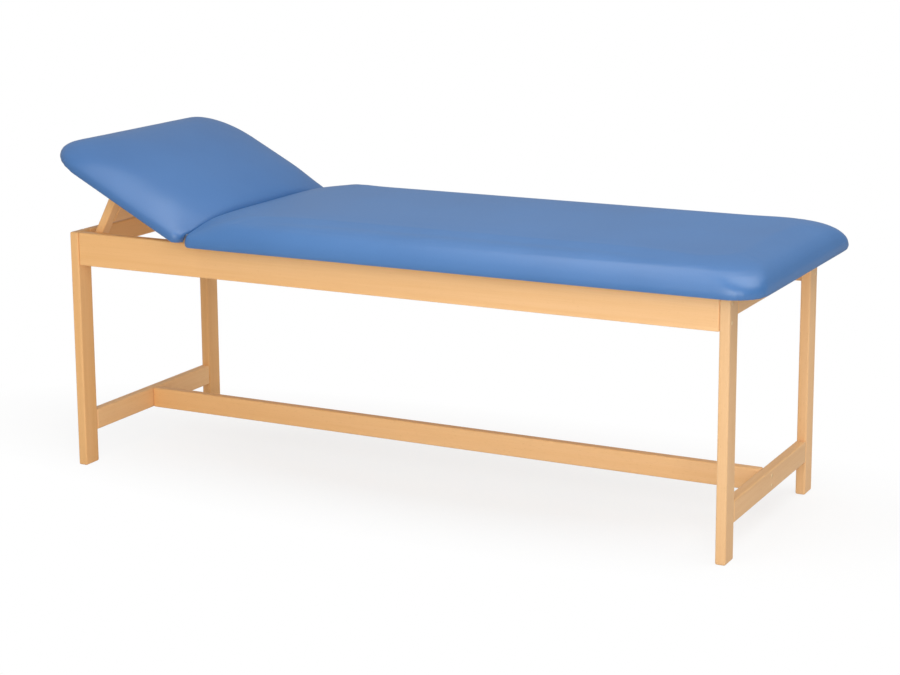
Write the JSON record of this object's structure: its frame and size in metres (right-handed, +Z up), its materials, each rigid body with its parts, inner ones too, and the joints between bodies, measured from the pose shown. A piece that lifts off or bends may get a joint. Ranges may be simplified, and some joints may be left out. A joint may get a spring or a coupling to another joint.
{
  "type": "treatment couch",
  "caption": "Fixed wooden treatment couch with blue upholstery, a hinged head section raised on a folding support, side rails, aprons, cross bars and a long stretcher.",
  "frame": {"origin": "on the floor, under the middle of the couch's overall length and width", "axes": "+X along the couch from the head end to the foot end, +Y across it to the right as seen from the foot end, +Z up"},
  "size_m": [1.8928, 0.75, 0.8517],
  "materials": {
    "beech": "clear satin lacquer on pale beech",
    "plywood": "plain sanded plywood",
    "cover": "blue leatherette with a soft sheen",
    "steel": "zinc-plated hinge steel"
  },
  "bodies": {
    "frame": {"leg_head_left": "beech", "leg_head_right": "beech", "leg_foot_left": "beech", "leg_foot_right": "beech", "rail_left": "beech", "rail_right": "beech", "apron_head": "beech", "apron_foot": "beech", "cross_head": "beech", "cross_foot": "beech", "stretcher_long": "beech", "support_seat_left": "beech", "support_seat_right": "beech", "main_board": "plywood", "main_cushion": "cover", "head_hinge_fixed_leaf": "steel", "head_hinge_pin": "steel"},
    "head_section": {"head_board": "plywood", "head_cushion": "cover", "head_hinge_moving_leaf": "steel", "support_hinge_left_upper_leaf": "steel", "support_hinge_left_pin": "steel", "support_hinge_right_upper_leaf": "steel", "support_hinge_right_pin": "steel"},
    "support": {"support_arm_left": "beech", "support_arm_right": "beech", "support_board": "beech", "support_hinge_left_lower_leaf": "steel", "support_hinge_right_lower_leaf": "steel"}
  },
  "joints": [
    {"name": "head_tilt", "type": "hinge", "parent": "frame", "child": "head_section", "pos_m": [-0.53856, 0, 0.6453], "axis": [0, 1, 0], "range_deg": [-27.5, 0]},
    {"name": "support_fold", "type": "hinge", "parent": "head_section", "child": "support", "pos_m": [-0.77415, 0, 0.73638], "axis": [0, 1, 0], "range_deg": [-90, 0]}
  ],
  "couplings": [
    {"joint": "support_fold", "follows": "head_tilt", "ratio": 3.2727}
  ]
}
